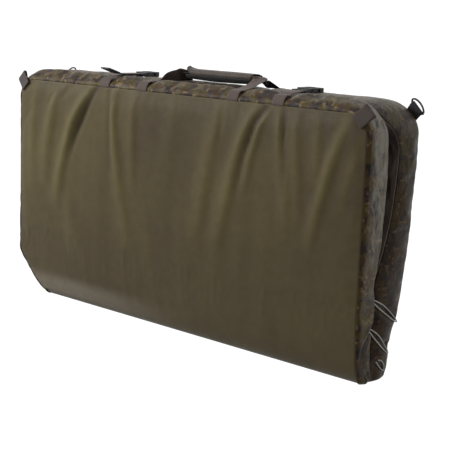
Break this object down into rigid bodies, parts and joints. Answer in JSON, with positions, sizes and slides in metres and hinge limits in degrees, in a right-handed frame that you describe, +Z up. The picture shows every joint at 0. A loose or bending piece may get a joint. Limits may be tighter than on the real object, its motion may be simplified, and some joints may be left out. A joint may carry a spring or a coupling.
{
  "type": "unhooking mat",
  "caption": "Padded unhooking mat with walled halves that fold together and stand on the fold, with carry handles, buckled closure straps and elastic-gathered ends",
  "frame": {"origin": "on the floor, in the middle of the flat foot's length, below the plane where the tops of the two halves meet", "axes": "+X along the fold towards the end with the open slit, +Y from the front half to the rear half, +Z up"},
  "size_m": [1.0579, 0.1873, 0.5844],
  "materials": {
    "olive_fabric": "olive drab coated woven fabric, slight sheen, fine weave",
    "camo_fabric": null,
    "brown_lining": "plain dark brown smooth lining",
    "foam": "closed-cell foam, hidden inside",
    "brown_webbing": "ribbed mauve-brown webbing",
    "black_webbing": "ribbed black webbing",
    "black_plastic": "moulded black plastic, satin",
    "ring_metal": "thin wire, black finish",
    "grey_elastic": "thin light grey braided elastic cord"
  },
  "bodies": {
    "fold": {"fold_cover": "olive_fabric", "fold_foam": "foam", "fold_lining": "brown_lining", "left_fold_gusset": "camo_fabric", "right_fold_gusset": "camo_fabric", "left_elastic_loop_2": "grey_elastic", "left_elastic_loop_3": "grey_elastic", "right_elastic_loop_2": "grey_elastic", "right_elastic_loop_3": "grey_elastic"},
    "front_half": {"front_base_cover": "olive_fabric", "front_base_foam": "foam", "front_floor_lining": "brown_lining", "front_wall_cover": "camo_fabric", "front_wall_lining": "brown_lining", "front_left_wall_foam": "foam", "front_top_wall_foam": "foam", "front_right_wall_foam": "foam", "front_left_tab": "brown_webbing", "front_right_tab": "brown_webbing"},
    "rear_half": {"rear_base_cover": "olive_fabric", "rear_base_foam": "foam", "rear_floor_lining": "brown_lining", "rear_wall_cover": "camo_fabric", "rear_wall_lining": "brown_lining", "rear_left_wall_foam": "foam", "rear_top_wall_foam": "foam", "rear_right_wall_foam": "foam", "rear_left_tab": "black_webbing", "rear_right_tab": "black_webbing", "left_female_buckle": "black_plastic", "right_female_buckle": "black_plastic", "left_anchor_strap": "brown_webbing", "right_anchor_strap": "brown_webbing", "left_elastic_loop_1": "grey_elastic", "right_elastic_loop_1": "grey_elastic"},
    "front_handle": {"front_handle": "brown_webbing", "grip_wrap": "brown_webbing"},
    "grip_flap": {"grip_flap": "black_webbing"},
    "rear_handle": {"rear_handle": "brown_webbing"},
    "left_strap": {"left_closure_strap": "brown_webbing", "left_strap_tail": "brown_webbing", "left_tail_end": "black_plastic"},
    "left_plug": {"left_male_buckle": "black_plastic"},
    "right_strap": {"right_closure_strap": "brown_webbing"},
    "right_plug": {"right_male_buckle": "black_plastic"},
    "left_ring": {"rear_left_d_ring": "ring_metal"},
    "right_ring": {"rear_right_d_ring": "ring_metal"}
  },
  "joints": [
    {"name": "front_fold", "type": "hinge", "parent": "fold", "child": "front_half", "pos_m": [0, -0.025, 0.03], "axis": [1, 0, 0], "range_deg": [0, 90], "deforming": ["fold_cover", "fold_foam", "fold_lining", "left_fold_gusset", "right_fold_gusset"]},
    {"name": "rear_fold", "type": "hinge", "parent": "fold", "child": "rear_half", "pos_m": [0, 0.042, 0.03], "axis": [1, 0, 0], "range_deg": [-82, 0], "deforming": ["left_elastic_loop_2", "right_elastic_loop_2"]},
    {"name": "front_handle_swing", "type": "hinge", "parent": "front_half", "child": "front_handle", "pos_m": [0.043, -0.0556, 0.527], "axis": [1, 0, 0], "range_deg": [0, 160], "deforming": ["front_handle"]},
    {"name": "grip_flap_open", "type": "hinge", "parent": "front_handle", "child": "grip_flap", "pos_m": [0.056, 0.05237, 0.58439], "axis": [1, 0, 0], "range_deg": [0, 120]},
    {"name": "rear_handle_swing", "type": "hinge", "parent": "rear_half", "child": "rear_handle", "pos_m": [0.043, 0.1107, 0.527], "axis": [1, 0, 0], "range_deg": [-160, 0], "deforming": ["rear_handle"]},
    {"name": "left_strap_swing", "type": "hinge", "parent": "front_half", "child": "left_strap", "pos_m": [-0.209, -0.0556, 0.5245], "axis": [1, 0, 0], "range_deg": [0, 150]},
    {"name": "left_plug_release", "type": "slide", "parent": "left_strap", "child": "left_plug", "axis": [0, -1, 0], "range_m": [0, 0.027], "deforming": ["left_closure_strap", "left_strap_tail"]},
    {"name": "right_strap_swing", "type": "hinge", "parent": "front_half", "child": "right_strap", "pos_m": [0.295, -0.0556, 0.5245], "axis": [1, 0, 0], "range_deg": [0, 150]},
    {"name": "right_plug_release", "type": "slide", "parent": "right_strap", "child": "right_plug", "axis": [0, -1, 0], "range_m": [0, 0.027], "deforming": ["right_closure_strap"]},
    {"name": "left_ring_swing", "type": "hinge", "parent": "rear_half", "child": "left_ring", "pos_m": [-0.50929, 0.10831, 0.53229], "axis": [0.7071, 0, 0.7071], "range_deg": [-80, 80]},
    {"name": "right_ring_swing", "type": "hinge", "parent": "rear_half", "child": "right_ring", "pos_m": [0.50929, 0.10831, 0.53229], "axis": [0.7071, 0, -0.7071], "range_deg": [-80, 80]}
  ]
}
